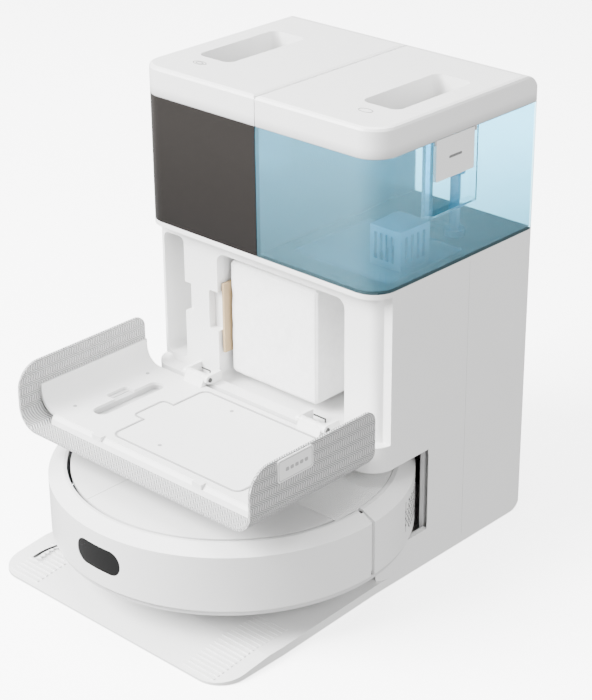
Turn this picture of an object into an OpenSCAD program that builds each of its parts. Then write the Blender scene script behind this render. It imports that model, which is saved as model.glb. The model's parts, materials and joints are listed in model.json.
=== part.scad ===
// Robot vacuum and mop with its washing and emptying dock.
// Origin: on the floor, below the middle of the dock's front face. +X right, -Y front, +Z up.

/* [Dock] */
// Width of the dock body
dock_w = 298; // [290:1:306]
// Depth of the dock body, front face to back face
dock_d = 226; // [220:1:236]
// Height to the top of the tank lids
dock_h = 461; // [456:1:470]
// Height of the deck that the tanks stand on
deck_z = 306; // [304:1:308]
// Height of each tank lid
lid_h = 28; // [24:1:32]
// Radius of the front vertical corners
corner_r = 25; // [20:1:28]
// Wall thickness of the moulded shells
wall = 2.6; // [2:0.1:3]

/* [Base] */
// Width of the ramp
ramp_w = 308; // [304:1:312]
// How far the ramp reaches in front of the dock body
ramp_l = 208; // [200:1:214]
// Height of the tray that the robot parks on
tray_z = 9; // [8:0.5:9]

/* [Door] */
// Outside width of the door over its two wings
door_w = 306; // [305:1:308]
// Underside of the open door
door_z = 138.5; // [137.5:0.5:140]
// How far the open door reaches in front of the dock body
door_l = 167; // [160:1:170]
// Height of the top of the wings, door open
wing_z = 201.5; // [196:0.5:204]

/* [Robot] */
// Diameter of the robot
robot_d = 350; // [346:1:352]
// Distance of the parked robot's centre in front of the dock's front face
robot_y = 36; // [34:1:38]
// Height of the robot's top above the floor, parked
robot_top = 110.6; // [109:0.2:112]
// Radius of the drive wheels
wheel_r = 34; // [32:1:35]

/* [Hidden] */
$fn = 96;

half = dock_w / 2;
back_r = 3;
toe_r = 15;
lid_back_r = 22;
house_z = deck_z - 5;
lid_z = dock_h - lid_h;
cover_y = 131.5;
panel_y = 15;
panel_x = half - 8;
ledge_z = 152;
cave_z = 126;
cave_r = robot_d / 2 + 12;
cheek_t = 6;
curb_z = 39;
cy = -robot_y;
bay_x = [-66, 98];
bay_z = [148, 286];
bay_back = 126;
slot_x = [-141 + wall, -111];
slot_z = [160, 289];
notch_d = 8;
slot_back = 62;
split_gap = 1;
tank_x0 = 2.7 + split_gap / 2;
tank_top = lid_z - 0.8;
hinge_y = -3;
hinge_z = 158;
pin_r = 2.5;
run = 0.05;
barrels = [[-95, -62], [56, 93]];
ear_w = 4;
ear_r = 4.4;
door_half = door_w / 2;
door_back = -4.5;
door_t = 2.5;
door_r = 22;
liner_z = 148;
liner_t = 3;
liner_half = door_half - door_t - 0.2;
liner_y = [-142, door_back - 0.3];
liner_top = 176;
pocket_d = 32;
recess_y = [53.5, 160.5];
recess_x = [81.5, 124.5];
latch_y = [79, 133];
latch_z = 393;
rr = robot_d / 2;
lip_z = 42;
bump_z0 = 47;
bevel_z = robot_top - 7;
ring_r = rr - 15;
gap_y0 = cy + 2;
gap_y1 = cy + 7;
pan_z = tray_z + 10;
wheel_z = tray_z + 0.6 + wheel_r;
wheel_x = 118;
arm_y = cy + 42;
arm_z = 52;
axle_r = 3;
roller_r = 16.5;
roller_z = 29;
roller_y = [cy - 19, cy + 19];
caster_y = cy - 112;
caster_r = 10.5;
brush_x = -112;
brush_y = cy - 86;
brush_z = 11.3;
bristle_l = 64;
motor_x = 62;
fan_x = -66;
works_y = 180;
motor_z = 190;
inlet_x = 96;
inlet_z = 40;

// A rounded rectangle in the XY plane
module rrect(x0, y0, x1, y1, r) {
    translate([x0 + r, y0]) square([x1 - x0 - 2 * r, y1 - y0]);
    translate([x0, y0 + r]) square([x1 - x0, y1 - y0 - 2 * r]);
    for (x = [x0 + r, x1 - r], y = [y0 + r, y1 - r]) translate([x, y]) circle(r);
}

// A box between two corners
module block(a, b) {
    translate(a) cube(b - a);
}

// A slab with rounded vertical edges
module slab(a, b, r) {
    translate([0, 0, a[2]]) linear_extrude(b[2] - a[2]) rrect(a[0], a[1], b[0], b[1], r);
}

// A profile drawn as (Y, Z), swept from x0 to x1
module along_x(x0, x1) {
    translate([x0, 0, 0]) rotate([90, 0, 90]) linear_extrude(x1 - x0) children();
}

// A profile drawn as (X, Z), swept from y0 to y1
module along_y(y0, y1) {
    translate([0, y1, 0]) rotate([90, 0, 0]) linear_extrude(y1 - y0) children();
}

// Round bars along X and along Y
module bar_x(x0, x1, y, z, r) {
    translate([x0, y, z]) rotate([0, 90, 0]) cylinder(h = x1 - x0, r = r);
}

module bar_y(x, y0, y1, z, r) {
    translate([x, y0, z]) rotate([-90, 0, 0]) cylinder(h = y1 - y0, r = r);
}

// Outline of the dock body, front corners rounder than the back ones
module body_outline(inset = 0) {
    h = half - inset;
    y0 = inset;
    y1 = dock_d - inset;
    rf = corner_r - inset;
    rb = max(back_r - inset, 0.5);
    translate([-h, y0 + rf]) square([2 * h, y1 - y0 - rf - rb]);
    translate([-h + rf, y0]) square([2 * (h - rf), rf + 1]);
    translate([-h + rb, y1 - rb - 1]) square([2 * (h - rb), rb + 1]);
    for (s = [-1, 1]) translate([s * (h - rf), y0 + rf]) circle(rf);
    for (s = [-1, 1]) translate([s * (h - rb), y1 - rb]) circle(rb);
}

// Outline of one tank, the right-hand one for side 1 and the left-hand one for side -1
module tank_outline(side, inset = 0) {
    x0 = side > 0 ? tank_x0 + inset : -half - 1;
    x1 = side > 0 ? half + 1 : tank_x0 - split_gap - inset;
    intersection() {
        body_outline(inset);
        translate([x0, -1]) square([x1 - x0, dock_d + 2]);
    }
}

// Circular plan of the robot, the part of it between two Y values
module robot_band(y0, y1) {
    translate([-rr - 5, y0, 0]) cube([2 * rr + 10, y1 - y0, robot_top + 5]);
}

// A solid turned about the robot's centre, from a profile drawn as (radius, Z)
module turned() {
    translate([0, cy, 0]) rotate_extrude() children();
}

// ---- Dock: base, shells and inner works ----

rib_pitch = 5.5;
rib_x = [100, 138];
slope_l = 60;
toe_a = -asin(1 - tray_z / toe_r);

module base_tray() {
    color("white") difference() {
        union() {
            intersection() {
                along_x(-ramp_w, ramp_w) polygon(concat([[-ramp_l, 0], [-ramp_l, 2.4], [-ramp_l + slope_l, tray_z]],
                                                        arc([dock_d - toe_r, toe_r], toe_r, toe_a, -90, 5)));
                linear_extrude(tray_z + 1) union() {
                    rrect(-ramp_w / 2, -ramp_l, ramp_w / 2, -100, 28);
                    polygon([[-ramp_w / 2, -130], [ramp_w / 2, -130], [half, 2], [-half, 2]]);
                    body_outline();
                    translate([-half, 0]) square([dock_w, 60]);
                }
            }
            for (s = [-1, 1], i = [0 : 17]) traction_rib(s, -ramp_l + 6 + i * rib_pitch);
        }
        slab([-104, 66, 3], [104, 126, tray_z + 1], 8);
        for (x = [-118, 118], y = [-150, 190]) translate([x, y, -1]) cylinder(h = 2.6, r = 9);
        for (x = [-24, 24]) translate([x, 46, -1]) cylinder(h = tray_z + 2, r = 4);
    }
}

// One low bar across the wheel track
module traction_rib(s, y) {
    x0 = s > 0 ? rib_x[0] : -rib_x[1];
    z = min(2.4 + (tray_z - 2.4) * (y + ramp_l) / slope_l, tray_z);
    block([x0, y, z - 1], [x0 + rib_x[1] - rib_x[0], y + 2.2, z + (z < tray_z ? 1.1 : 0.5)]);
}

module wash_tray() {
    color("gainsboro") difference() {
        slab([-103.6, 66.4, 3], [103.6, 125.6, tray_z], 7.6);
        for (i = [-11 : 11]) block([i * 8.5 - 2.5, 72, 4.5], [i * 8.5 + 2.5, 120, tray_z + 1]);
    }
}

module feet() {
    color("dimgray") for (x = [-118, 118], y = [-150, 190]) translate([x, y, 0]) cylinder(h = 1.6, r = 9);
}

// The full-width front body before anything is cut from it
module front_block() {
    intersection() {
        translate([0, 0, tray_z]) linear_extrude(house_z - tray_z) body_outline();
        block([-half - 1, -1, 0], [half + 1, cover_y, deck_z]);
    }
}

// Material outside the recessed front panel
module seat_cut() {
    difference() {
        block([-half - 1, -1, ledge_z], [half + 1, 22, house_z + 1]);
        slab([-panel_x, panel_y, ledge_z - 1], [panel_x, 60, house_z + 2], 14);
    }
}

// The parking space, with the openings in the two cheeks
module cave_cut() {
    translate([0, cy, curb_z]) cylinder(h = cave_z - curb_z, r = cave_r);
    intersection() {
        translate([0, cy, tray_z - 1]) cylinder(h = cave_z - tray_z + 1, r = cave_r);
        block([-half + cheek_t, -2, tray_z - 1], [half - cheek_t, dock_d, cave_z]);
    }
    block([-half + cheek_t, -2, tray_z - 1], [half - cheek_t, 60, cave_z]);
    for (s = [-1, 1]) cheek_cut(s);
}

module cheek_cut(s) {
    x0 = s > 0 ? half - 30 : -half - 1;
    along_x(x0, x0 + 31) difference() {
        union() {
            rrect(-30, curb_z, 78, cave_z, 8);
            translate([-30, 0]) square([45, 80]);
            translate([0, 0]) square([33, 60]);
        }
        translate([33, 0]) square([60, curb_z]);
        translate([33, curb_z - 24]) circle(24);
    }
}

module housing() {
    color("white") difference() {
        union() {
            difference() {
                front_block();
                seat_cut();
                slab([-panel_x + wall, panel_y + wall, cave_z + wall], [panel_x - wall, 50, deck_z], 14 - wall);
                block([-half + wall, ceiling_y, cave_z + wall], [half - wall, cover_y + 1, deck_z]);
                block([-half + cheek_t, ceiling_y, cave_z - 1], [half - cheek_t, 80, cave_z + wall + 1]);
                block([-half + wall, 79, tray_z - 1], [half - wall, cover_y + 1, cave_z + wall + 1]);
            }
            compartment(bay_x, bay_z, bay_back);
            compartment(slot_x, slot_z, slot_back);
            compartment([bay_x[0] - 12, bay_x[0] - wall], bay_notch, panel_y + notch_d);
            compartment([slot_x[1] + wall, slot_x[1] + 11], slot_notch, panel_y + notch_d);
            for (b = barrels, x = [b[0], b[1] - ear_w]) hinge_ear(x);
        }
        cave_cut();
        compartment_cut(bay_x, bay_z, bay_back, 10);
        compartment_cut(slot_x, slot_z, slot_back, 6);
        compartment_cut([bay_x[0] - 12, bay_x[0] + 10], bay_notch, panel_y + notch_d, 3);
        compartment_cut([slot_x[1] - 8, slot_x[1] + 11], slot_notch, panel_y + notch_d, 3);
        for (b = barrels) bar_x(b[0] - 1, b[1] + 1, hinge_y, hinge_z, pin_r + run);
        bar_y(duct_x, bay_back - 1, bay_back + 9, duct_z, 12);
    }
}

ceiling_y = 26;
bay_notch = [203, 244];
slot_notch = [212, 243];
duct_x = 10;
duct_z = 215;
port_z = 70;

// Ceiling and curved back wall of the parking space
module parking_liner() {
    x = half - cheek_t - 0.2;
    z0 = tray_z + 0.2;
    color("gainsboro") difference() {
        union() {
            difference() {
                intersection() {
                    translate([0, cy, z0]) cylinder(h = cave_z + wall - z0, r = cave_r + wall);
                    block([-x, ceiling_y + 0.2, z0], [x, dock_d, cave_z + wall]);
                }
                translate([0, cy, tray_z - 1]) cylinder(h = cave_z - tray_z + 1, r = cave_r);
            }
            for (s = [-1, 1]) block([s * (x - 2) - 2, 78.2, z0], [s * (x - 2) + 2, 90, cave_z + 1]);
        }
        bar_y(0, 100, 200, port_z, 14);
        for (s = [-1, 1]) translate([s * 98, 120.5, 56]) cylinder(h = 26, r = 6.2);
    }
}

// Walls of a storage space that opens in the front panel
module compartment(x, z, back) {
    block([x[0] - wall, panel_y, z[0] - wall], [x[1] + wall, back + wall, z[1] + wall]);
}

module compartment_cut(x, z, back, r) {
    along_y(panel_y - 1, back) rrect(x[0], z[0], x[1], z[1], r);
}

// One of the ears that hold a hinge pin
module hinge_ear(x) {
    along_x(x, x + ear_w) union() {
        translate([hinge_y, hinge_z]) circle(ear_r);
        polygon([[hinge_y, hinge_z - ear_r], [panel_y + 1, ledge_z - 4], [panel_y + 1, hinge_z + ear_r],
                 [hinge_y, hinge_z + ear_r]]);
    }
}

module rear_cover() {
    color("white") difference() {
        translate([0, 0, tray_z]) linear_extrude(house_z - tray_z) difference() {
            body_outline();
            body_outline(wall);
            translate([-half - 1, -1]) square([dock_w + 2, cover_y + 1.3]);
        }
        for (i = [0 : 8]) slab_y([-90, 60 + i * 8], [-30, 63.5 + i * 8], 1.6);
        slab_y([inlet_x - 14, inlet_z - 10], [inlet_x + 14, inlet_z + 10], 6);
        for (x = [-120, 120], z = [60, 270]) bar_y(x, dock_d - 10, dock_d + 1, z, 2);
        along_x(-half - 1, half + 1) difference() {
            translate([dock_d - toe_r, 0]) square([toe_r + 1, toe_r]);
            translate([dock_d - toe_r, toe_r]) circle(toe_r);
        }
    }
}

// A rounded slot through the back wall
module slab_y(a, b, r) {
    along_y(dock_d - 8, dock_d + 2) rrect(a[0], a[1], b[0], b[1], r);
}

module cover_screws() {
    color("silver") for (x = [-120, 120], z = [60, 270]) {
        bar_y(x, dock_d - 14, dock_d, z, 1.95);
        bar_y(x, dock_d, dock_d + 1.6, z, 3.6);
    }
}

module tank_deck() {
    color("white") difference() {
        translate([0, 0, house_z]) linear_extrude(deck_z - house_z) body_outline();
        for (x = [-70, 76]) translate([x, 170, house_z - 1]) cylinder(h = 8, r = 9);
        slab([-135, 30, house_z + 3], [-12, 140, deck_z + 1], 8);
        slab([18, 30, house_z + 3], [135, 140, deck_z + 1], 8);
    }
}

module evac_duct() {
    color("lightgray") difference() {
        union() {
            block([-18, 155, 50], [18, 185, 235]);
            block([duct_x - 15, bay_back + wall + 0.3, duct_z - 15], [duct_x + 8, 156, duct_z + 15]);
        }
        block([-15.5, 157.5, 53], [15.5, 182.5, 232]);
        block([duct_x - 12.5, bay_back, duct_z - 12.5], [duct_x + 5.5, 158, duct_z + 12.5]);
        block([-12, 150, port_z - 12], [12, 158, port_z + 12]);
    }
}

module motor_housing() {
    color("gray") difference() {
        translate([motor_x, works_y, motor_z]) cylinder(h = 70, r = 36);
        translate([motor_x, works_y, motor_z + 3]) cylinder(h = 64, r = 33);
        translate([motor_x, works_y, motor_z - 1]) cylinder(h = 6, r = 12);
        for (a = [0 : 30 : 330]) translate([motor_x, works_y, motor_z + 50]) rotate([0, 0, a])
            block([30, -3, 0], [40, 3, 10]);
    }
}

module motor_impeller() {
    color("silver") translate([motor_x, works_y, motor_z + 8]) {
        cylinder(h = 3, r = 30);
        cylinder(h = 50, r = 6);
        for (a = [0 : 40 : 320]) rotate([0, 0, a]) block([5, -1, 2], [29, 1, 14]);
    }
}

module fan_housing() {
    color("dimgray") difference() {
        block([fan_x - 34, dock_d - 34, 62], [fan_x + 34, dock_d - 12, 130]);
        bar_y(fan_x, dock_d - 35, dock_d - 11, 96, 31);
    }
    color("dimgray") for (a = [0 : 90 : 270]) translate([fan_x, dock_d - 34, 96]) rotate([0, a, 0])
        block([8, 0, -1.5], [32, 3, 1.5]);
    color("dimgray") bar_y(fan_x, dock_d - 34, dock_d - 31, 96, 10);
}

module fan_rotor() {
    color("black") bar_y(fan_x, dock_d - 29, dock_d - 15, 96, 10);
    color("black") for (a = [0 : 51.43 : 330]) translate([fan_x, dock_d - 26, 96]) rotate([0, a, 0])
        rotate([28, 0, 0]) block([8, -1, -7], [28, 1, 7]);
}

// A small diaphragm pump with its two hose spigots
module pump(x, z) {
    translate([x, works_y, z]) cylinder(h = 42, r = 15);
    block([x - 17, works_y - 17, z - 16], [x + 17, works_y + 17, z + 1]);
    for (d = [-8, 8]) bar_y(x + d, works_y - 26, works_y - 16, z - 8, 3.5);
}

module clean_pump() {
    color("steelblue") pump(112, 130);
}

module dirty_pump() {
    color("slategray") pump(-112, 200);
}

module dock_board() {
    color("darkgreen") block([-60, 212, 150], [40, 214, 270]);
    color("black") for (i = [0 : 3]) block([-50 + i * 22, 206, 170 + i * 18], [-36 + i * 22, 212, 184 + i * 18]);
}

module power_inlet() {
    color("black") difference() {
        slab_inlet(13.7, 9.7, 5.7, dock_d - 22, dock_d - 0.2);
        slab_inlet(10.5, 6.5, 4, dock_d - 18, dock_d + 1);
    }
    color("silver") for (d = [-4.3, 4.3]) bar_y(inlet_x + d, dock_d - 19, dock_d - 6, inlet_z, 1.2);
}

module slab_inlet(w, h, r, y0, y1) {
    along_y(y0, y1) rrect(inlet_x - w, inlet_z - h, inlet_x + w, inlet_z + h, r);
}

module guide_bars() {
    color("black") for (s = [-1, 1]) translate([s * 98, 120.5, 56.2]) cylinder(h = 25.6, r = 6);
}

module contact_pins() {
    color("silver") for (x = [-24, 24]) translate([x, 46, 4]) cylinder(h = pan_z - 4.6, r = 3.95);
}

// ---- Dock: tanks, lids, door and bag ----

lid_axis = [dock_d + 3.4, lid_z - 2];
lid_pin_r = 1.8;

function tank_mid(side) = side > 0 ? (tank_x0 + half) / 2 : (tank_x0 - split_gap - half) / 2;

// Clear or smoked tank with a pocket for its latch and two ears for its lid
module tank(side) {
    c = tank_mid(side);
    difference() {
        union() {
            difference() {
                translate([0, 0, deck_z]) linear_extrude(tank_top - deck_z) tank_outline(side);
                translate([0, 0, deck_z + wall]) linear_extrude(tank_top) tank_outline(side, wall);
            }
            side_block(side, 11.5, latch_y[0] - 7, latch_y[1] + 7, latch_z - 34, tank_top, 0);
        }
        side_block(side, 9, latch_y[0] - 4.5, latch_y[1] + 4.5, latch_z - 31, tank_top + 1, 1);
    }
    for (d = [-1, 1]) translate([c + d * 11 - 1.5, 0, 0]) along_x(0, 3) union() {
        translate(lid_axis) circle(3);
        polygon([[dock_d - 1, lid_axis[1] - 8], lid_axis - [0, 3], lid_axis + [0, 1.2], [dock_d - 1, lid_axis[1] + 1.2]]);
    }
    bar_x(c - 11, c + 11, lid_axis[0], lid_axis[1], lid_pin_r);
}

// A box on the outer side wall of a tank, so deep, and past the wall by the last value
module side_block(side, deep, y0, y1, z0, z1, past) {
    x = [side * (half - deep), side * (half + past)];
    block([min(x), y0, z0], [max(x), y1, z1]);
}

// Side view of the lid, with its rounded back edge, set in by a thickness
module lid_side(t) {
    polygon(concat([[-1, lid_z - 2], [dock_d - t, lid_z - 2]],
                   arc([dock_d - lid_back_r, dock_h - lid_back_r], lid_back_r - t, 0, 90, 12), [[-1, dock_h - t]]));
}

module lid(side) {
    c = tank_mid(side);
    shift = side > 0 ? 0 : -recess_x[0] - recess_x[1];
    difference() {
        union() {
            difference() {
                intersection() {
                    hull() {
                        translate([0, 0, lid_z]) linear_extrude(lid_h - 3.4) tank_outline(side);
                        translate([0, 0, lid_z]) linear_extrude(lid_h - 1.2) tank_outline(side, 1);
                        translate([0, 0, lid_z]) linear_extrude(lid_h) tank_outline(side, 3.4);
                    }
                    along_x(-half - 1, half + 1) lid_side(0);
                }
                intersection() {
                    translate([0, 0, lid_z - 1]) linear_extrude(lid_h - 3) tank_outline(side, 4);
                    along_x(-half, half) lid_side(4);
                }
            }
            translate([shift, 0, 0]) slab([recess_x[0] - 2.4, recess_y[0] - 2.4, dock_h - pocket_d - 2.4],
                                          [recess_x[1] + 2.4, recess_y[1] + 2.4, dock_h - 2], 11.4);
            for (y = [latch_y[0] - 2.7, latch_y[1] + 0.5]) side_block(side, 4, y, y + 2.2, lid_z - 5, lid_z + 1, -0.2);
            translate([c - 8.5, 0, 0]) along_x(0, 17) union() {
                translate(lid_axis) circle(3);
                polygon([lid_axis + [-3, 0], lid_axis + [3, 0], [dock_d + 3, lid_z + 5], [dock_d - 1, lid_z + 8],
                         [dock_d - 1, lid_z + 0.5], [dock_d + 0.4, lid_z + 0.5]]);
            }
        }
        translate([shift, 0, 0]) slab([recess_x[0], recess_y[0], dock_h - pocket_d],
                                      [recess_x[1], recess_y[1], dock_h + 1], 9);
        bar_x(c - 10, c + 10, lid_axis[0], lid_axis[1], lid_pin_r + run);
        translate([side * (half - 2), 0, 0]) bar_y(0, latch_y[0] - 4, latch_y[1] + 4, lid_z - 2.5, 1.2 + run);
    }
}

// Spring tab that hangs from the lid over the tank's side
module latch(side) {
    translate([side * (half - 2), 0, 0]) {
        bar_y(0, latch_y[0] - 2.4, latch_y[1] + 2.4, lid_z - 2.5, 1.2);
        translate([-1.6, 0, 0]) along_x(0, 3.2) rrect(latch_y[0], latch_z, latch_y[1], lid_z - 0.9, 1.5);
        translate([side * -2.6 - 1.2, 0, 0]) along_x(0, 2.4) rrect(latch_y[0] + 15, latch_z + 3, latch_y[1] - 15, latch_z + 6, 1);
    }
}

module seal(side) {
    difference() {
        translate([0, 0, tank_top]) linear_extrude(lid_z - tank_top) difference() {
            tank_outline(side, 0.5);
            tank_outline(side, 2.3);
        }
        side_block(side, 5, latch_y[0] - 3.5, latch_y[1] + 3.5, tank_top - 1, lid_z + 1, 1);
    }
}

module clean_tank() {
    color([0.45, 0.75, 0.85, 0.5]) tank(1);
}

module clean_lid() {
    color("white") lid(1);
}

module clean_seal() {
    color("dimgray") seal(1);
}

module clean_latch() {
    color("white") latch(1);
}

module dirty_tank() {
    color([0.3, 0.27, 0.26, 0.8]) tank(-1);
}

module dirty_lid() {
    color("white") lid(-1);
}

module dirty_seal() {
    color("dimgray") seal(-1);
}

module dirty_latch() {
    color("white") latch(-1);
}

module filter_cage() {
    z0 = deck_z + wall;
    color("lightblue") difference() {
        block([92, 56, z0], [128, 96, z0 + 38]);
        block([94, 58, z0 + 2], [126, 94, z0 + 36]);
        for (i = [0 : 3]) block([90, 62 + i * 8, z0 + 6], [130, 66 + i * 8, z0 + 32]);
        for (i = [0 : 3]) block([97 + i * 7, 54, z0 + 6], [101 + i * 7, 98, z0 + 32]);
    }
}

module pickup_tube() {
    z0 = deck_z + wall;
    color("lightblue") difference() {
        union() {
            translate([106, 160, z0]) cylinder(h = 96, r = 5);
            translate([106, 160, z0]) cylinder(h = 6, r = 10);
            translate([106, 160, z0 + 62]) cylinder(h = 10, r = 9);
        }
        translate([106, 160, z0 + 3]) cylinder(h = 100, r = 3.4);
    }
}

module dirty_inlet() {
    z0 = deck_z + wall;
    color("gray") difference() {
        union() {
            translate([-84, 176, z0]) cylinder(h = 104, r = 11);
            block([-130, 60, z0 + 40], [-60, 63, z0 + 92]);
            block([-130, 60, z0 + 40], [-60, 150, z0 + 43]);
            block([-96, 140, z0 + 40], [-72, 170, z0 + 43]);
        }
        translate([-84, 176, z0 - 1]) cylinder(h = 110, r = 9);
        block([-90, 160, z0 + 84], [-78, 168, z0 + 106]);
    }
}

// Points along an arc, in n steps
function arc(c, r, a0, a1, n) = [for (i = [0 : n]) c + r * [cos(a0 + (a1 - a0) * i / n), sin(a0 + (a1 - a0) * i / n)]];

// Side view of the open door
module door_side() {
    polygon(concat(arc([door_back - 13, door_z + 13], 13, -90, 0, 8), arc([door_back - 12, wing_z - 12], 12, 0, 90, 8),
                   arc([-door_l + 25, wing_z - 25], 25, 90, 180, 12), [[-door_l, door_z]]));
}

// The folded skin: a floor and two wings, open at the front and the back
module door_shell() {
    color("gainsboro") intersection() {
        along_y(-door_l, door_back) difference() {
            rrect(-door_half, door_z, door_half, wing_z + 60, door_r);
            rrect(-door_half + door_t, door_z + door_t, door_half - door_t, wing_z + 61, door_r - door_t);
        }
        along_x(-door_half - 1, door_half + 1) door_side();
    }
}

flank = [[-140, 151], [-143.6, 149.7], [-146, 146.8], [-147, 141.2], [-144.6, 141.2], [-143.8, 145.4],
         [-142.2, 147.3], [-140, 148]];

module door_liner() {
    color("white") difference() {
        union() {
            along_y(liner_y[0], liner_y[1]) difference() {
                rrect(-liner_half, liner_z, liner_half, wing_z + 20, 20);
                rrect(-liner_half + 2.3, liner_z + liner_t, liner_half - 2.3, wing_z + 21, 18);
                translate([-door_half, liner_top]) square([door_w, 90]);
            }
            along_x(-131, 131) polygon(flank);
            for (x = [-118, -40, 40, 118]) block([x - 1, -140, door_z + door_t], [x + 1, -19, liner_z + 1]);
            for (s = [-1, 1]) block([s * 66.5 - 6, -147, liner_z - 0.5], [s * 66.5 + 6, -141, liner_z + 4]);
        }
        slab([-111, -116, liner_z - 1], [-93, -30, liner_z + 4], 8.9);
        slab([-124, -84, liner_z - 1], [-105, -58, liner_z + 4], 3);
    }
}

module door_knuckles() {
    color("white") for (b = barrels) difference() {
        along_x(b[0] + ear_w + 0.3, b[1] - ear_w - 0.3) union() {
            translate([hinge_y, hinge_z]) circle(ear_r - 0.2);
            polygon([[hinge_y - 8, liner_z + liner_t], [liner_y[1], liner_z + liner_t], [hinge_y + 1, hinge_z - 4],
                     [hinge_y - 4, hinge_z + 1]]);
        }
        bar_x(b[0], b[1], hinge_y, hinge_z, pin_r + run);
    }
}

// One closed outline of the storage area on the door's inner face
module pad_outline(inset) {
    rrect(-60 + inset, -135 + inset, 106 - inset, -12 - inset, 9 - inset);
    rrect(-74 + inset, -95 + inset, -30, -54 - inset, 6 - inset);
}

module door_gasket() {
    color("darkgray") translate([0, 0, liner_z + liner_t]) linear_extrude(0.8) difference() {
        pad_outline(0);
        pad_outline(1.7);
    }
}

module tray_insert() {
    color("gray") difference() {
        slab([-127, -120, door_z + door_t + 0.4], [-88.5, -26, liner_z - 0.2], 8);
        slab([-111.5, -116.5, door_z + door_t + 1.8], [-92, -29.5, liner_z + 1], 7);
        block([-119.2, -141, door_z + door_t], [-116.8, -10, liner_z]);
    }
}

module door_tag() {
    color("white") translate([door_half, 0, 0]) along_x(0, 1.6) rrect(-134, wing_z - 23, -89, wing_z - 1, 3);
}

module hinge_pins() {
    color("silver") for (b = barrels) bar_x(b[0] + 0.6, b[1] + 0.8, hinge_y, hinge_z, pin_r);
}

module dust_bag() {
    color("white") slab([-61, 25, 157], [54, 112, 277], 3);
}

module bag_collar() {
    color("tan") difference() {
        block([-64, 19, 180], [-61.2, 108, 253]);
        bar_x(-65, -61, 70, 222, 16);
    }
}

// ---- Robot ----

module chassis() {
    color("lightgray") difference() {
        union() {
            difference() {
                turned() polygon([[0, pan_z], [135, pan_z], [158, lip_z], [rr - 3, lip_z], [rr - 3, bump_z0 - 0.6],
                                  [155, bump_z0 - 0.6], [132, pan_z + 3.5], [0, pan_z + 3.5]]);
                block([-92, cy - 39, pan_z - 1], [92, cy + 39, pan_z + 5]);
                for (s = [-1, 1]) block([s * wheel_x - 10.5, cy - 32, pan_z - 1], [s * wheel_x + 10.5, cy + 32, 45]);
            }
            for (s = [-1, 1]) block([s * 95 - 2.5, cy - 36, pan_z], [s * 95 + 2.5, cy + 36, roller_z + 9]);
            for (s = [-1, 1]) block([s * 100.5 - 2, arm_y - 7, pan_z + 1], [s * 100.5 + 2, arm_y + 7, arm_z + 7]);
            translate([0, caster_y, pan_z]) cylinder(h = 20, r = 20);
            translate([brush_x, brush_y, pan_z]) cylinder(h = 16, r = 6);
        }
        translate([0, caster_y, pan_z - 1]) cylinder(h = 17, r = 18);
        translate([0, caster_y, pan_z]) cylinder(h = 24, r = 4 + run);
        translate([brush_x, brush_y, pan_z - 1]) cylinder(h = 20, r = axle_r + run);
        for (y = roller_y) bar_x(-99, 99, y, roller_z, axle_r + run);
        for (s = [-1, 1]) bar_x(s * 100.5 - 4, s * 100.5 + 4, arm_y, arm_z, axle_r + run);
    }
    color("gray") difference() {
        translate([0, cy, 103]) cylinder(h = robot_top - 4.4 - 103, r = 153);
        translate([0, cy, 102]) cylinder(h = 3, r = 120);
    }
    color("gray") for (a = [50 : 80 : 290]) translate([0, cy, 0]) rotate([0, 0, a])
        translate([145, 0, 34]) cylinder(h = 70, r = 4);
}

// Section of the side wall with its bevelled top, reaching in to radius r0
module wall_section(r0) {
    polygon([[rr - 2.8, bump_z0], [rr - 1, bump_z0], [rr, bump_z0 + 1.5], [rr, bevel_z], [ring_r, robot_top],
             [r0, robot_top], [r0, robot_top - 2.4], [ring_r, robot_top - 2.4], [rr - 2.8, bevel_z - 1.6]]);
}

module rear_shell() {
    color("white") difference() {
        intersection() {
            turned() wall_section(155.6);
            robot_band(gap_y1, rr + 20);
        }
        for (s = [-1, 1], i = [0 : 4]) translate([0, cy, 0]) rotate([0, 0, 90 + s * (68 - i * 3.4)])
            block([rr - 8, -1.6, 62], [rr + 2, 1.6, 94]);
        bar_y(0, 100, 150, 70, 15);
    }
    color("white") intersection() {
        turned() polygon([[150, bump_z0 + 1], [rr - 2.8, bump_z0 + 1], [rr - 2.8, bump_z0 + 3.5], [150, bump_z0 + 3.5]]);
        robot_band(gap_y1, rr + 20);
    }
    color("white") intersection() {
        turned() seam_section(rr - 3.2);
        robot_band(gap_y0 - 5, gap_y1 + 6);
    }
    color("white") intersection() {
        turned() seam_section(rr - 2.7);
        robot_band(gap_y1 + 1, gap_y1 + 6);
    }
}

// Section of the inner band behind the upright seams, out to radius r1
module seam_section(r1) {
    polygon([[rr - 6, bump_z0 + 3.6], [r1, bump_z0 + 3.6], [r1, bevel_z - 2], [ring_r + 0.4, robot_top - 3],
             [ring_r - 1, robot_top - 5], [rr - 6, bevel_z - 3]]);
}

module bumper() {
    color("white") difference() {
        intersection() {
            turned() wall_section(157.2);
            robot_band(-rr - 60, gap_y0);
        }
        along_y(-rr - 60, cy - 100) rrect(-28.3, 63.7, 28.3, 89.3, 12.3);
    }
}

module sensor_window() {
    color("black") intersection() {
        turned() polygon([[rr - 3.4, 60], [rr - 0.5, 60], [rr - 0.5, 94], [rr - 3.4, 94]]);
        along_y(-rr - 60, cy - 100) rrect(-28, 64, 28, 89, 12);
    }
}

plate_z = robot_top - 4.2;
plate_t = 3.8;
split_y = cy - 24;
split_x = -40;

module plate_front() {
    color("white") difference() {
        intersection() {
            translate([0, cy, plate_z]) cylinder(h = plate_t, r = 153.6);
            robot_band(-rr - 60, split_y - 0.3);
        }
        block([split_x - 0.3, -rr - 60, plate_z - 1], [split_x + 0.3, split_y + 1, robot_top + 1]);
    }
}

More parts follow.
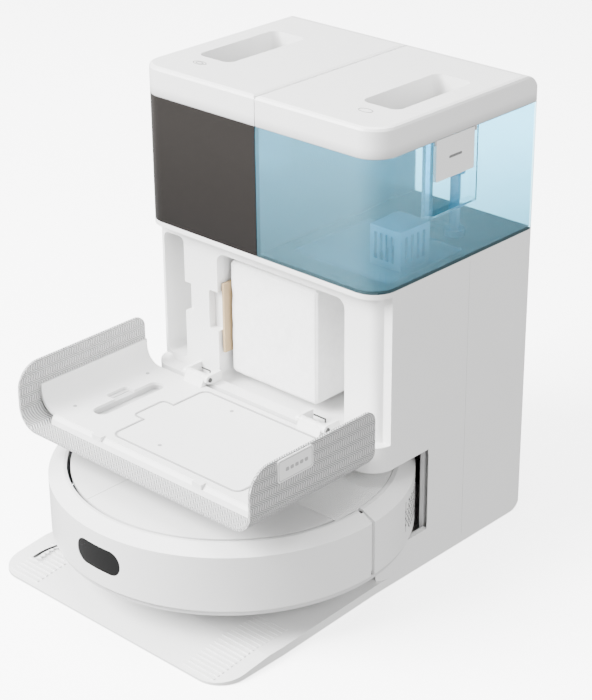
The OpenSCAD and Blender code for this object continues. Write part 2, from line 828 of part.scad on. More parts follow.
module plate_rear() {
    color("whitesmoke") intersection() {
        translate([0, cy, plate_z]) cylinder(h = plate_t, r = 154.9);
        robot_band(split_y + 0.3, rr + 20);
    }
}

module battery() {
    color("black") slab([-46, cy - 86, pan_z + 3.5], [46, cy - 45, 62], 4);
}

module dust_bin() {
    color("dimgray") difference() {
        slab([-62, cy + 44, pan_z + 3.5], [62, cy + 112, 98], 6);
        slab([-59, cy + 47, pan_z + 6.5], [59, cy + 109, 95], 4);
        bar_y(0, cy + 105, cy + 120, 70, 12);
    }
}

module robot_fan() {
    color("gray") translate([0, cy, 66]) {
        cylinder(h = 3, r = 27);
        cylinder(h = 24, r = 6);
        for (a = [0 : 45 : 315]) rotate([0, 0, a]) block([5, -0.8, 2], [26, 0.8, 14]);
    }
}

// Suspension arm with its pivot pin and the wheel's axle, for side s
module arm(s) {
    translate([s * 105.2 - 1.6, 0, 0]) along_x(0, 3.2) union() {
        translate([arm_y, arm_z]) circle(8);
        translate([cy, wheel_z]) circle(8);
        polygon([[arm_y, arm_z + 8], [arm_y, arm_z - 8], [cy, wheel_z - 8], [cy, wheel_z + 8]]);
    }
    pin = [s * 98, s * 105.2];
    axle = [s * 105.2, s * (wheel_x + 9)];
    bar_x(min(pin), max(pin), arm_y, arm_z, axle_r);
    bar_x(min(axle), max(axle), cy, wheel_z, axle_r);
}

module wheel(s) {
    difference() {
        bar_x(s * wheel_x - 8, s * wheel_x + 8, cy, wheel_z, 22);
        bar_x(s * wheel_x - 9, s * wheel_x + 9, cy, wheel_z, axle_r + run);
        for (a = [0 : 60 : 300]) translate([s * wheel_x, cy, wheel_z]) rotate([a, 0, 0])
            bar_x(-9, 9, 13, 0, 4);
    }
}

module tyre(s) {
    difference() {
        bar_x(s * wheel_x - 8, s * wheel_x + 8, cy, wheel_z, wheel_r);
        bar_x(s * wheel_x - 9, s * wheel_x + 9, cy, wheel_z, 22);
        for (a = [0 : 15 : 345]) translate([s * wheel_x, cy, wheel_z]) rotate([a, 0, 0])
            block([-9, -1.5, wheel_r - 2], [9, 1.5, wheel_r + 2]);
    }
}

module left_arm() {
    color("silver") arm(-1);
}

module left_wheel() {
    color("lightgray") wheel(-1);
}

module left_tyre() {
    color("black") tyre(-1);
}

module right_arm() {
    color("silver") arm(1);
}

module right_wheel() {
    color("lightgray") wheel(1);
}

module right_tyre() {
    color("black") tyre(1);
}

caster_z = tray_z + 0.6 + caster_r;

module caster_fork() {
    color("gray") translate([0, caster_y, 0]) {
        translate([0, 0, caster_z + 11.6]) cylinder(h = 9, r = 4);
        translate([0, 0, caster_z + 11.2]) cylinder(h = 2, r = 10);
        for (s = [-1, 1]) block([s * 8.5 - 1, -3, caster_z - 2], [s * 8.5 + 1, 4, caster_z + 12]);
        bar_x(-9, 9, 0, caster_z, 1.5);
    }
}

module caster_wheel() {
    color("black") difference() {
        bar_x(-7, 7, caster_y, caster_z, caster_r);
        bar_x(-8, 8, caster_y, caster_z, 1.5 + run);
    }
}

// Rubber roller with straight fins and two end journals, turned by half a fin pitch for the second one
module roller(y, phase) {
    translate([0, y, roller_z]) rotate([phase, 0, 0]) {
        bar_x(-91.5, 91.5, 0, 0, 10);
        bar_x(-97, 97, 0, 0, axle_r);
        for (a = [0 : 45 : 315]) rotate([a, 0, 0]) block([-89, -1.2, 8], [89, 1.2, roller_r]);
    }
}

module front_roller() {
    color("seagreen") roller(roller_y[0], 0);
}

module rear_roller() {
    color("seagreen") roller(roller_y[1], 22.5);
}

module side_brush() {
    color("dimgray") translate([brush_x, brush_y, 0]) {
        translate([0, 0, brush_z - 1]) cylinder(h = pan_z - brush_z + 0.6, r = 11);
        translate([0, 0, brush_z]) cylinder(h = 20, r = axle_r);
    }
}

module brush_bristles() {
    color("black") for (a = [-104, 16, 136]) translate([brush_x, brush_y, brush_z]) rotate([0, 0, a])
        bar_x(11.05, bristle_l, 0, 0, 1);
}

base_tray();
wash_tray();
feet();
housing();
parking_liner();
rear_cover();
tank_deck();
evac_duct();
motor_housing();
motor_impeller();
fan_housing();
fan_rotor();
clean_pump();
dirty_pump();
dock_board();
power_inlet();
guide_bars();
contact_pins();
cover_screws();
clean_tank();
clean_lid();
clean_seal();
clean_latch();
filter_cage();
pickup_tube();
dirty_tank();
dirty_lid();
dirty_seal();
dirty_latch();
dirty_inlet();
door_shell();
door_liner();
door_gasket();
door_tag();
door_knuckles();
tray_insert();
hinge_pins();
dust_bag();
bag_collar();
chassis();
rear_shell();
bumper();
sensor_window();
plate_front();
plate_rear();
battery();
dust_bin();
robot_fan();
left_arm();
left_wheel();
left_tyre();
right_arm();
right_wheel();
right_tyre();
caster_fork();
caster_wheel();
front_roller();
rear_roller();
side_brush();
brush_bristles();
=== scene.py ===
"""Looks for a robot vacuum parked in its washing dock: materials, light, camera and the fine pieces."""
import json
import math
import random

import bmesh
import bpy
from mathutils import Matrix, Vector


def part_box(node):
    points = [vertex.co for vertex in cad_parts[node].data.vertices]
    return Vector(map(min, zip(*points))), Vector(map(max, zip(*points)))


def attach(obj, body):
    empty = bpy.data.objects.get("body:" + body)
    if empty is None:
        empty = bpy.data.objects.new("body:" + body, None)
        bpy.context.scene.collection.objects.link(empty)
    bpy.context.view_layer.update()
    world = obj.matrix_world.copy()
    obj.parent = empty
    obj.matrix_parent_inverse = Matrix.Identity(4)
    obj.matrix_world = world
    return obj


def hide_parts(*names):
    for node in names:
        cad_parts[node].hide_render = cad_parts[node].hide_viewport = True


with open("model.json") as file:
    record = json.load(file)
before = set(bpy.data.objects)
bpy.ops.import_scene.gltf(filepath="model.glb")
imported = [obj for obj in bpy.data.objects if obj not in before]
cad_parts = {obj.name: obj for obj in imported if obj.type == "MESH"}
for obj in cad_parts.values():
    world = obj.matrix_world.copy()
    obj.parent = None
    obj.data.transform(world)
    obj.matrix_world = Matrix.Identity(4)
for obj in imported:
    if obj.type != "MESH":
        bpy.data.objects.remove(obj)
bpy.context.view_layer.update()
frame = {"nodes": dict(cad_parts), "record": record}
rng = random.Random(7)


# ---- node material helpers ----

def new_material(name):
    mat = bpy.data.materials.new(name)
    mat.use_nodes = True
    return mat, mat.node_tree, mat.node_tree.nodes["Principled BSDF"]


def add(tree, kind, **values):
    """Adds a node, and sets its own properties or its inputs by name."""
    node = tree.nodes.new(kind)
    for key, value in values.items():
        if hasattr(node, key):
            setattr(node, key, value)
        else:
            node.inputs[key.replace("_", " ")].default_value = value
    return node


def object_axes(tree):
    """The X, Y and Z outputs of a point's place in its object."""
    coord = add(tree, "ShaderNodeTexCoord")
    split = add(tree, "ShaderNodeSeparateXYZ")
    tree.links.new(coord.outputs["Object"], split.inputs["Vector"])
    return split.outputs


def noise(tree, scale, detail=3.0, rough=0.5):
    coord = add(tree, "ShaderNodeTexCoord")
    tex = add(tree, "ShaderNodeTexNoise", Scale=scale, Detail=detail, Roughness=rough)
    tree.links.new(coord.outputs["Object"], tex.inputs["Vector"])
    return tex.outputs["Fac"]


def ramp(tree, source, low, high, start=0.3, end=0.7):
    """Turns a value into a colour that runs from low at start to high at end."""
    node = add(tree, "ShaderNodeValToRGB")
    for element, position, colour in zip(node.color_ramp.elements, (start, end), (low, high)):
        element.position = position
        element.color = (*colour, 1)
    tree.links.new(source, node.inputs["Fac"])
    return node.outputs["Color"]


def grey(v):
    return (v, v, v)


def darker(colour, share):
    return tuple(c * share for c in colour)


def mottle(tree, bsdf, socket, source, low, high):
    """Drives a shader input between two values by a noise."""
    tree.links.new(ramp(tree, source, low, high), bsdf.inputs[socket])


def uneven_polish(tree, bsdf, scale, rough, spread):
    """Lets the roughness wander a little to both sides of its value."""
    low = grey(rough * (1 - spread))
    high = grey(rough * (1 + spread))
    mottle(tree, bsdf, "Roughness", noise(tree, scale), low, high)


def bump(tree, bsdf, source, strength, distance):
    node = add(tree, "ShaderNodeBump", Strength=strength, Distance=distance)
    tree.links.new(source, node.inputs["Height"])
    tree.links.new(node.outputs["Normal"], bsdf.inputs["Normal"])


# ---- materials ----

def plastic(name, colour, rough, grain=900.0, depth=0.00004, coat=0.0):
    """Moulded plastic: a fine spark-eroded grain, and slow changes in tone and polish."""
    mat, tree, bsdf = new_material(name)
    mottle(tree, bsdf, "Base Color", noise(tree, 18.0), darker(colour, 0.98), colour)
    uneven_polish(tree, bsdf, 60.0, rough, 0.12)
    bsdf.inputs["Coat Weight"].default_value = coat
    bsdf.inputs["Coat Roughness"].default_value = 0.15
    bump(tree, bsdf, noise(tree, grain, 2.0), 0.25, depth)
    return mat


def lid_shell_painted_shade(name, colour, rough, coat):
    """The lids' plastic, with painted shade: darker towards the bottom of their grip recesses."""
    recess_floor_z = 0.428
    full_tone_z = 0.442
    mat = plastic(name, colour, rough, coat=coat)
    tree = mat.node_tree
    base = tree.nodes["Principled BSDF"].inputs["Base Color"]
    tone = base.links[0].from_socket
    # painted shade: the colour is multiplied down to 0.42 from just under the lid top to the recess floor
    shade = ramp(tree, object_axes(tree)["Z"], grey(0.42), grey(1.0), recess_floor_z, full_tone_z)
    mix = add(tree, "ShaderNodeVectorMath", operation="MULTIPLY")
    tree.links.new(tone, mix.inputs[0])
    tree.links.new(shade, mix.inputs[1])
    tree.links.new(mix.outputs[0], base)
    return mat


def clear_plastic(name, colour, rough, clearness, ior):
    """Tinted clear plastic with painted shade: darker towards the foot of the tanks, lighter at the top.
    """
    foot_z = 0.31
    light_z = 0.42
    mat, tree, bsdf = new_material(name)
    uneven_height = add(tree, "ShaderNodeMath", operation="MULTIPLY_ADD")
    tree.links.new(noise(tree, 8.0), uneven_height.inputs[0])
    uneven_height.inputs[1].default_value = 0.02
    tree.links.new(object_axes(tree)["Z"], uneven_height.inputs[2])
    # painted shade: the colour runs from 0.62 of itself at the foot up to full colour at light_z, with a
    # little noise in the height
    painted_shade_tone = ramp(tree, uneven_height.outputs[0], darker(colour, 0.62), colour, foot_z, light_z)
    tree.links.new(painted_shade_tone, bsdf.inputs["Base Color"])
    bsdf.inputs["Transmission Weight"].default_value = clearness
    bsdf.inputs["IOR"].default_value = ior
    uneven_polish(tree, bsdf, 14.0, rough, 0.2)
    return mat


def woven(name):
    """Moulded textile look: slanted ribs in bands that turn about, like a fine herringbone."""
    mat, tree, bsdf = new_material(name)
    axes = object_axes(tree)

    def calc(operation, a, b):
        node = add(tree, "ShaderNodeMath", operation=operation)
        for slot, value in enumerate((a, b)):
            if isinstance(value, (int, float)):
                node.inputs[slot].default_value = value
            else:
                tree.links.new(value, node.inputs[slot])
        return node.outputs[0]

    band_width = 0.0042
    rib_width = band_width * 0.36
    along = calc("ADD", axes["X"], calc("MULTIPLY", axes["Z"], 0.8))
    across = calc("ADD", axes["Y"], calc("MULTIPLY", axes["Z"], 0.55))
    slant = calc("ADD", across, calc("PINGPONG", along, band_width))
    height = calc("MULTIPLY", calc("PINGPONG", slant, rib_width), 1.0 / rib_width)
    tree.links.new(ramp(tree, height, grey(0.22), grey(0.66), 0.0, 0.8), bsdf.inputs["Base Color"])
    mottle(tree, bsdf, "Roughness", noise(tree, 40.0), grey(0.5), grey(0.62))
    bump(tree, bsdf, height, 0.9, 0.0012)
    return mat


def fibre(name):
    """Pressed filter fibre: short tangled strands and soft mottling."""
    mat, tree, bsdf = new_material(name)
    mottle(tree, bsdf, "Base Color", noise(tree, 120.0, 6.0, 0.7), grey(0.78), grey(0.86))
    bsdf.inputs["Roughness"].default_value = 0.85
    bsdf.inputs["Sheen Weight"].default_value = 0.15
    bump(tree, bsdf, noise(tree, 420.0, 8.0, 0.75), 0.5, 0.0003)
    return mat


def metal(name, colour, rough):
    mat, tree, bsdf = new_material(name)
    mottle(tree, bsdf, "Base Color", noise(tree, 45.0), darker(colour, 0.9), colour)
    uneven_polish(tree, bsdf, 300.0, rough, 0.2)
    bsdf.inputs["Metallic"].default_value = 1.0
    return mat


WHITE = (0.78, 0.78, 0.775)
SHELL_ROUGH = 0.32
SHELL_COAT = 0.15
materials = {
    "white_shell": plastic("white_shell", WHITE, SHELL_ROUGH, coat=SHELL_COAT),
    "white_matte": plastic("white_matte", (0.76, 0.76, 0.755), 0.48),
    "door_weave": woven("door_weave"),
    "pale_grey": plastic("pale_grey", grey(0.58), 0.45),
    "mid_grey": plastic("mid_grey", grey(0.16), 0.5),
    "dark_plastic": plastic("dark_plastic", grey(0.018), 0.45),
    # the three clear plastics carry painted shade that darkens them towards the tanks' foot
    "clear_blue": clear_plastic("clear_blue", (0.44, 0.84, 1.0), 0.05, 0.9, 1.22),
    "smoke": clear_plastic("smoke", (0.026, 0.023, 0.021), 0.12, 0.35, 1.4),
    "inner_blue": clear_plastic("inner_blue", (0.16, 0.5, 0.68), 0.2, 0.5, 1.3),
    "black_gloss": plastic("black_gloss", grey(0.003), 0.3),
    "soft_rubber": plastic("soft_rubber", grey(0.03), 0.8),
    "roller_rubber": plastic("roller_rubber", (0.10, 0.16, 0.08), 0.7),
    "steel": metal("steel", grey(0.6), 0.3),
    "bag_fibre": fibre("bag_fibre"),
    "card": plastic("card", (0.40, 0.29, 0.16), 0.8, grain=300.0, depth=0.0001),
    "board_green": plastic("board_green", (0.01, 0.09, 0.03), 0.35),
    "tyre_rubber": plastic("tyre_rubber", grey(0.02), 0.75),
    "seal_grey": plastic("seal_grey", grey(0.34), 0.6),
}
slot_of = {part["node"]: part["material_slot"] for part in frame["record"]["subparts"]}
for node_name, obj in frame["nodes"].items():
    obj.data.materials.clear()
    obj.data.materials.append(materials[slot_of[node_name]])
# the lids take white plastic with painted shade towards the bottom of their grip recesses
lid_plastic_painted_shade = lid_shell_painted_shade("lid_plastic_painted_shade", WHITE, SHELL_ROUGH, SHELL_COAT)
for lid_name in ("clean_lid", "dirty_lid"):
    frame["nodes"][lid_name].data.materials[0] = lid_plastic_painted_shade


# ---- camera, floor and light ----

CAMERA_AT = Vector((1.1813, -1.20167, 1.0180))
CAMERA_AZIMUTH = math.radians(43.24)
CAMERA_ELEVATION = math.radians(25.65)
CAMERA_ROLL = math.radians(-0.50)
CAMERA_LENS = 101.64
SENSOR_WIDTH = 36.0
FLOOR_HALF = 12.0
FLOOR_Z = -0.0004
FLOOR_GLOW = 3.8
WORLD_GLOW = 0.74
LIGHTS_AIM = Vector((0, 0, 0.2))
# name, place, size, power
LIGHTS = (
    ("key", (-1.6, -2.6, 2.6), 2.4, 900),
    ("top", (-0.3, 0.2, 3.2), 2.2, 120),
    ("right_fill", (3.0, -0.6, 1.2), 2.0, 92),
)


def make_camera():
    data = bpy.data.cameras.new("camera")
    data.lens = CAMERA_LENS
    data.sensor_width = SENSOR_WIDTH
    cam = bpy.data.objects.new("camera", data)
    a, e = CAMERA_AZIMUTH, CAMERA_ELEVATION
    back = Vector((math.sin(a) * math.cos(e), -math.cos(a) * math.cos(e), math.sin(e)))
    right = Vector((math.cos(a), math.sin(a), 0))
    up = back.cross(right)
    c, s = math.cos(CAMERA_ROLL), math.sin(CAMERA_ROLL)
    turned_right = right * c + up * s
    turned_up = up * c - right * s
    axes = Matrix((turned_right, turned_up, back)).transposed()
    cam.matrix_world = Matrix.Translation(CAMERA_AT) @ axes.to_4x4()
    bpy.context.collection.objects.link(cam)
    bpy.context.scene.camera = cam


def make_floor():
    """A pale floor that glows a little, and whose light doesn't fall on the object."""
    mesh = bpy.data.meshes.new("floor")
    corners = [(x * FLOOR_HALF, y * FLOOR_HALF, FLOOR_Z) for x, y in ((-1, -1), (1, -1), (1, 1), (-1, 1))]
    mesh.from_pydata(corners, [], [(0, 1, 2, 3)])
    floor = bpy.data.objects.new("floor", mesh)
    bpy.context.collection.objects.link(floor)
    mat, tree, bsdf = new_material("floor")
    mottle(tree, bsdf, "Base Color", noise(tree, 2.0), grey(0.93), grey(0.95))
    bsdf.inputs["Roughness"].default_value = 0.9
    bsdf.inputs["Emission Color"].default_value = (1, 1, 1, 1)
    bsdf.inputs["Emission Strength"].default_value = FLOOR_GLOW
    mesh.materials.append(mat)
    floor.visible_diffuse = False
    floor.visible_glossy = False


def make_light():
    world = bpy.data.worlds.new("studio")
    bpy.context.scene.world = world
    world.use_nodes = True
    background = world.node_tree.nodes["Background"]
    background.inputs["Color"].default_value = (1, 1, 1, 1)
    background.inputs["Strength"].default_value = WORLD_GLOW
    for name, spot, size, power in LIGHTS:
        data = bpy.data.lights.new(name, "AREA")
        data.size = size
        data.energy = power
        light = bpy.data.objects.new(name, data)
        light.location = spot
        light.rotation_euler = (Vector(spot) - LIGHTS_AIM).to_track_quat("Z", "Y").to_euler()
        bpy.context.collection.objects.link(light)


# ---- helpers for the fine pieces ----

def place(name, bm, body, slot_name, smooth=True):
    """Turns a bmesh into a named piece that rides on a body and takes a record slot."""
    mesh = bpy.data.meshes.new(name)
    bmesh.ops.recalc_face_normals(bm, faces=bm.faces)
    bm.to_mesh(mesh)
    bm.free()
    for face in mesh.polygons:
        face.use_smooth = smooth
    piece = bpy.data.objects.new(name, mesh)
    bpy.context.collection.objects.link(piece)
    mesh.materials.append(materials[slot_name])
    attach(piece, body)
    return piece


def soft_edges(piece, width):
    """Rounds a piece's sharp edges with a bevel."""
    mod = piece.modifiers.new("bevel", "BEVEL")
    mod.width = width
    mod.segments = 3
    mod.limit_method = "ANGLE"
    mod.angle_limit = math.radians(35.0)
    mod.harden_normals = True


def prism(bm, outline, axis_point):
    """Adds a closed prism: axis_point(u, v, end) gives the place of outline point (u, v) at end 0 or 1."""
    near = [bm.verts.new(axis_point(u, v, 0)) for u, v in outline]
    far = [bm.verts.new(axis_point(u, v, 1)) for u, v in outline]
    count = len(outline)
    bm.faces.new(near[::-1])
    bm.faces.new(far)
    for i in range(count):
        j = (i + 1) % count
        bm.faces.new((near[i], near[j], far[j], far[i]))


def box_piece(bm, lo, hi):
    """Adds a box between two corners."""
    prism(bm, [(lo[0], lo[1]), (hi[0], lo[1]), (hi[0], hi[1]), (lo[0], hi[1])],
          lambda u, v, end: (u, v, hi[2] if end else lo[2]))


def circle(cu, cv, r, count):
    """Corner points of a circle, counter-clockwise."""
    turns = [2 * math.pi * k / count for k in range(count)]
    return [(cu + r * math.cos(a), cv + r * math.sin(a)) for a in turns]


def rounded_outline(u0, v0, u1, v1, r, steps=6):
    """Corner points of a rounded rectangle, counter-clockwise."""
    centres = ((u1 - r, v1 - r, 0), (u0 + r, v1 - r, 90), (u0 + r, v0 + r, 180), (u1 - r, v0 + r, 270))
    points = []
    for cu, cv, start in centres:
        for i in range(steps + 1):
            a = math.radians(start + 90 * i / steps)
            points.append((cu + r * math.cos(a), cv + r * math.sin(a)))
    return points


def tube_along(bm, points, radii, sides=6):
    """Adds a closed tube through the points, one radius for each."""
    rings = []
    for i, p in enumerate(points):
        ahead = points[min(i + 1, len(points) - 1)] - points[max(i - 1, 0)]
        side = ahead.cross(Vector((0, 0, 1)))
        if side.length < 1e-9:
            side = Vector((1, 0, 0))
        side.normalize()
        up = side.cross(ahead).normalized()
        ring = []
        for k in range(sides):
            a = 2 * math.pi * k / sides
            ring.append(bm.verts.new(p + (side * math.cos(a) + up * math.sin(a)) * radii[i]))
        rings.append(ring)
    for a, b in zip(rings, rings[1:]):
        for k in range(sides):
            j = (k + 1) % sides
            bm.faces.new((a[k], a[j], b[j], b[k]))
    bm.faces.new(rings[0][::-1])
    bm.faces.new(rings[-1])


# ---- fine pieces ----

LINE_R = 0.0003
HINGE_Y = -0.003
HINGE_Z = 0.158
BARRELS = ((-0.095, -0.062), (0.056, 0.093))
PANEL_Y = 0.015


def make_bag():
    """The fibre dust bag: a folded box that bulges a little, with soft edges and shallow creases."""
    front_bulge = 0.0032
    side_bulge = 0.0022
    crease_length = 0.22
    crease_width = 0.03
    lo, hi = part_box("dust_bag")
    size = hi - lo
    mid = (hi + lo) / 2
    bm = bmesh.new()
    bmesh.ops.create_cube(bm, size=1.0)
    bmesh.ops.bevel(bm, geom=bm.edges[:], offset=0.018, segments=2, affect="EDGES")
    long_edges = [e for e in bm.edges if e.calc_length() > 0.3]
    bmesh.ops.subdivide_edges(bm, edges=long_edges, cuts=22, use_grid_fill=True)
    creases = []
    for _ in range(16):
        creases.append((rng.uniform(-0.5, 0.5), rng.uniform(-0.5, 0.5),
                        rng.uniform(0, math.pi), rng.uniform(0.0004, 0.0011)))
    for v in bm.verts:
        x, y, z = v.co
        crown = max(0.0, 1 - (2 * x) ** 2) * max(0.0, 1 - (2 * z) ** 2)
        side_crown = max(0.0, 1 - (2 * y) ** 2) * max(0.0, 1 - (2 * z) ** 2)
        p = Vector((x * size.x * 0.985, y * size.y * 0.97, z * size.z * 0.99))
        if abs(y) > 0.45:
            p.y += math.copysign(front_bulge * crown, y)
        if abs(x) > 0.45:
            p.x += math.copysign(side_bulge * side_crown, x)
        for cx, cz, turn, depth in creases:
            along = (x - cx) * math.cos(turn) + (z - cz) * math.sin(turn)
            across = -(x - cx) * math.sin(turn) + (z - cz) * math.cos(turn)
            fade = math.exp(-(along / crease_length) ** 2) * math.exp(-(across / crease_width) ** 2)
            if abs(y) > 0.4:
                p.y -= math.copysign(depth * fade, y)
            if abs(x) > 0.4:
                p.x -= math.copysign(depth * fade * 0.8, x)
        v.co = mid + p
    bag = place("bag_body", bm, "bag", "bag_fibre")
    bag.modifiers.new("smooth", "SUBSURF").levels = 1
    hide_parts("dust_bag")


def make_bristles():
    """Side-brush tufts: three arms of thin stiff hairs that bow sideways and fan out towards the tip."""
    reach = 0.064
    root = 0.0095
    hair_r = 0.0005
    bow = 0.026
    last = 6
    hub_lo, hub_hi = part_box("side_brush")
    lo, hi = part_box("brush_bristles")
    middle = Vector(((hub_lo.x + hub_hi.x) / 2, (hub_lo.y + hub_hi.y) / 2, (lo.z + hi.z) / 2))
    bm = bmesh.new()
    for arm in (-104, 16, 136):
        a = math.radians(arm)
        out = Vector((math.cos(a), math.sin(a), 0))
        side = Vector((-out.y, out.x, 0))
        for _ in range(14):
            spread = rng.uniform(-1, 1)
            rise = rng.uniform(-0.8, 0.8)
            length = reach * rng.uniform(0.93, 1.0)
            points = []
            for i in range(last + 1):
                t = i / last
                sway = spread * (0.0006 + 0.0010 * t * t) - bow * t * (1 - t)
                points.append(middle + out * (root + (length - root) * t) + side * sway
                              + Vector((0, 0, rise * 0.0007)))
            tube_along(bm, points, [hair_r * (1 - 0.3 * i / last) for i in range(last + 1)], sides=5)
        socket = [middle + out * d for d in (0.009, 0.018, 0.0195)]
        tube_along(bm, socket, [0.0011, 0.0011, 0.0008], sides=10)
    tufts = place("side_tufts", bm, "corner_brush", "dark_plastic")
    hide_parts("brush_bristles")


def make_ribbed_plate():
    """The mop plate's cover: fine ridges clipped to the plate's outline."""
    pitch = 0.0024
    depth = 0.0005
    ridge = ((0.0, -depth), (0.25, 0.0), (0.75, 0.0), (1.0, -depth))
    lo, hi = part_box("plate_rear")
    robot_lo, robot_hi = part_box("chassis")
    centre_y = (robot_lo.y + robot_hi.y) / 2
    radius = hi.y - centre_y
    columns = int((hi.x - lo.x) / pitch)
    step = (hi.x - lo.x) / columns
    bm = bmesh.new()
    top_front, top_back, low_front, low_back = [], [], [], []
    for i in range(columns):
        for part, drop in ridge[:-1] if i < columns - 1 else ridge:
            x = lo.x + (i + part) * step
            back = max(math.sqrt(max(0.0, radius ** 2 - x * x)) + centre_y, lo.y)
            top_front.append(bm.verts.new((x, lo.y, hi.z + drop)))
            top_back.append(bm.verts.new((x, back, hi.z + drop)))
            low_front.append(bm.verts.new((x, lo.y, lo.z)))
            low_back.append(bm.verts.new((x, back, lo.z)))
    for i in range(len(top_front) - 1):
        bm.faces.new((top_front[i], top_front[i + 1], top_back[i + 1], top_back[i]))
        bm.faces.new((low_front[i], low_back[i], low_back[i + 1], low_front[i + 1]))
        bm.faces.new((top_front[i], low_front[i], low_front[i + 1], top_front[i + 1]))
        bm.faces.new((top_back[i], top_back[i + 1], low_back[i + 1], low_back[i]))
    bm.faces.new((top_front[0], top_back[0], low_back[0], low_front[0]))
    bm.faces.new((top_front[-1], low_front[-1], low_back[-1], top_back[-1]))
    bmesh.ops.remove_doubles(bm, verts=bm.verts, dist=1e-6)
    plate = place("ribbed_plate", bm, "pad_plate", "white_matte", smooth=False)
    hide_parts("plate_rear")


def make_lid_icons():
    """Generic line marks beside the lids' grips: one oval loop on the clean lid, two on the dirty lid."""
    mark_x = 0.103
    mark_y = 0.036
    line_r = 0.00032
    points = 20
    for side, kind, loops in ((1, "clean", 1), (-1, "dirty", 2)):
        top_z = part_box(kind + "_lid")[1].z
        centre = Vector((side * mark_x, mark_y, top_z + 0.0001))
        bm = bmesh.new()
        for ring in range(loops):
            half_x = 0.0075 - ring * 0.0034
            half_y = 0.0042 * (1 - 0.45 * ring)
            turns = [2 * math.pi * k / points for k in range(points + 1)]
            loop = [Vector((half_x * math.cos(a), half_y * math.sin(a), 0)) + centre for a in turns]
            tube_along(bm, loop, [line_r] * len(loop))
        place("lid_mark_" + kind, bm, kind + "_lid_body", "mid_grey")


def make_latch_mark():
    """A short raised bar on each latch tab."""
    half_length = 0.009
    half_width = 0.0012
    rise = 0.0004
    for side, kind in ((1, "clean"), (-1, "dirty")):
        lo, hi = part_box(kind + "_latch")
        face = hi.x if side > 0 else lo.x
        mid = (lo + hi) / 2
        outline = rounded_outline(mid.y - half_length, mid.z - half_width,
                                  mid.y + half_length, mid.z + half_width, 0.0011)
        bm = bmesh.new()
        prism(bm, outline, lambda u, v, end: (face + side * (rise if end else -rise), u, v))
        soft_edges(place("latch_mark_" + kind, bm, kind + "_latch_body", "mid_grey", smooth=False), 0.0002)


def make_tray_screws():
    """Four slotted screw heads on the tray."""
    head_r = 0.0019
    rise = 0.0005
    slot_half = (0.0011, 0.0002)
    tray_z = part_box("door_gasket")[0].z
    bm = bmesh.new()
    for x, y in ((-0.128, -0.119), (-0.128, -0.024), (-0.0105, -0.119), (-0.009, -0.026)):
        prism(bm, circle(x, y, head_r, 16), lambda u, v, end: (u, v, tray_z + (rise if end else -rise)))
        box_piece(bm, (x - slot_half[0], y - slot_half[1], tray_z + rise),
                  (x + slot_half[0], y + slot_half[1], tray_z + 0.0007))
    soft_edges(place("tray_screws", bm, "door", "seal_grey", smooth=False), 0.0001)


def make_tag_detail():
    """A raised frame and five blank marks on the door's tag."""
    margin = 0.0016
    rise = 0.0003
    lo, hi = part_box("door_tag")
    bm = bmesh.new()
    border = rounded_outline(lo.y + margin, lo.z + margin, hi.y - margin, hi.z - margin, 0.0022)
    loop = [Vector((hi.x, u, v)) for u, v in border + border[:1]]
    tube_along(bm, loop, [LINE_R] * len(loop))
    for k in range(5):
        y = lo.y + 0.010 + k * 0.0060
        prism(bm, rounded_outline(y, lo.z + 0.009, y + 0.0040, lo.z + 0.0125, 0.0012),
              lambda u, v, end: (hi.x + (rise if end else -rise), u, v))
    place("tag_detail", bm, "door", "seal_grey", smooth=False)


def make_barrel_rings():
    """Thin raised rings round the door's two hinge barrels."""
    ring_r = 0.00425
    turns = [math.pi * k / 12 for k in range(-4, 15)]
    bm = bmesh.new()
    for x0, x1 in BARRELS:
        for x in (x0 + 0.0095, x0 + 0.0120, x1 - 0.0120, x1 - 0.0095):
            ring = [Vector((x, HINGE_Y + ring_r * math.cos(a), HINGE_Z + ring_r * math.sin(a)))
                    for a in turns]
            tube_along(bm, ring, [LINE_R] * len(ring))
    place("barrel_rings", bm, "door", "white_matte")


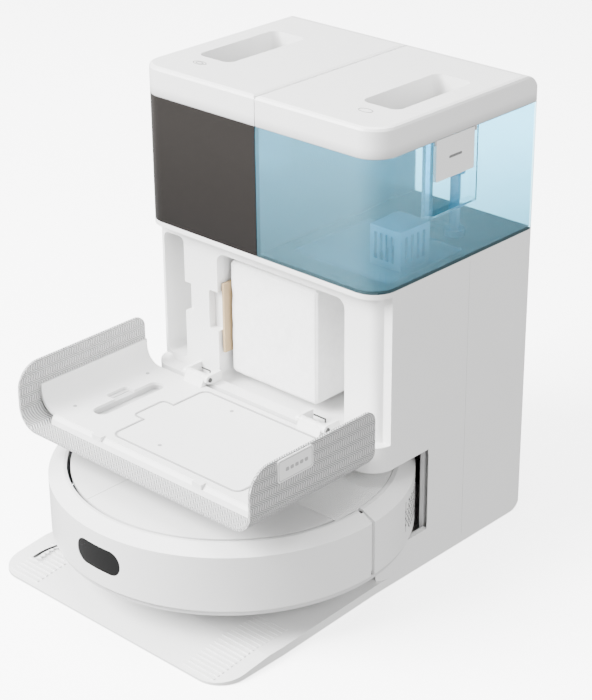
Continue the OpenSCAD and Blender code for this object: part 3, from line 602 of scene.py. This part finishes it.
def make_hinge_marks():
    """Dark L-shaped plates above the hinges that paint the shade inside relief slots, and the dark ends of
    the pins.
    """
    slot_width = 0.0014
    slot_length = 0.018
    slot_top = 0.1566
    slot_low = 0.1521
    rise = 0.0004
    pin_rise = 0.0006
    bm = bmesh.new()
    # painted shade: thin dark plates on the panel stand in for the shaded insides of the L-shaped relief
    # slots
    for x0 in (-0.0965, 0.057):
        x1 = x0 + slot_length
        for u0, v0 in ((x0, slot_top - slot_width), (x1 - slot_width, slot_low)):
            prism(bm, rounded_outline(u0, v0, x1, slot_top, 0.0006, 3),
                  lambda u, v, end: (u, PANEL_Y - (rise if end else -rise), v))
    for x in (BARRELS[0][1] + 0.0008, BARRELS[1][1] + 0.0008):
        prism(bm, circle(HINGE_Y, HINGE_Z, 0.0024, 16),
              lambda u, v, end: (x + (pin_rise if end else -pin_rise), u, v))
    place("hinge_marks", bm, "dock", "dark_plastic", smooth=False)


def make_vent_field():
    """An oval field of small dark discs on both rear sides of the robot, painting the shade inside the
    vent's perforations.
    """
    rows = 9
    cols = 10
    row_step = 0.0036
    col_step = 1.9
    vent_hole_r = 0.0010
    rise = 0.0003
    sunk = 0.0008
    lowest_z = 0.062
    shell_lo, shell_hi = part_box("rear_shell")
    chassis_lo, chassis_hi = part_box("chassis")
    radius = (shell_hi.x - shell_lo.x) / 2
    centre_y = (chassis_lo.y + chassis_hi.y) / 2
    up = Vector((0, 0, 1))
    bm = bmesh.new()
    for side in (-1, 1):
        for row in range(rows):
            for col in range(cols):
                if ((col - 4.5) / 5.6) ** 2 + ((row - 4) / 5.0) ** 2 > 1:
                    continue
                a = math.radians(22 + col * col_step + (col_step / 2 if row % 2 else 0))
                out = Vector((side * math.cos(a), math.sin(a), 0))
                across = up.cross(out)
                middle = Vector((0, centre_y, lowest_z + row * row_step)) + out * (radius + 0.0002)
                # painted shade: each dark disc stands in for the shaded inside of one vent perforation
                prism(bm, circle(0, 0, vent_hole_r, 8),
                      lambda u, v, end: middle + across * u + up * v + out * (rise if end else -sunk))
    place("vent_field", bm, "robot", "mid_grey", smooth=False)


make_camera()
make_floor()
make_light()
make_bag()
make_bristles()
make_ribbed_plate()
make_lid_icons()
make_latch_mark()
make_tray_screws()
make_tag_detail()
make_barrel_rings()
make_hinge_marks()
make_vent_field()
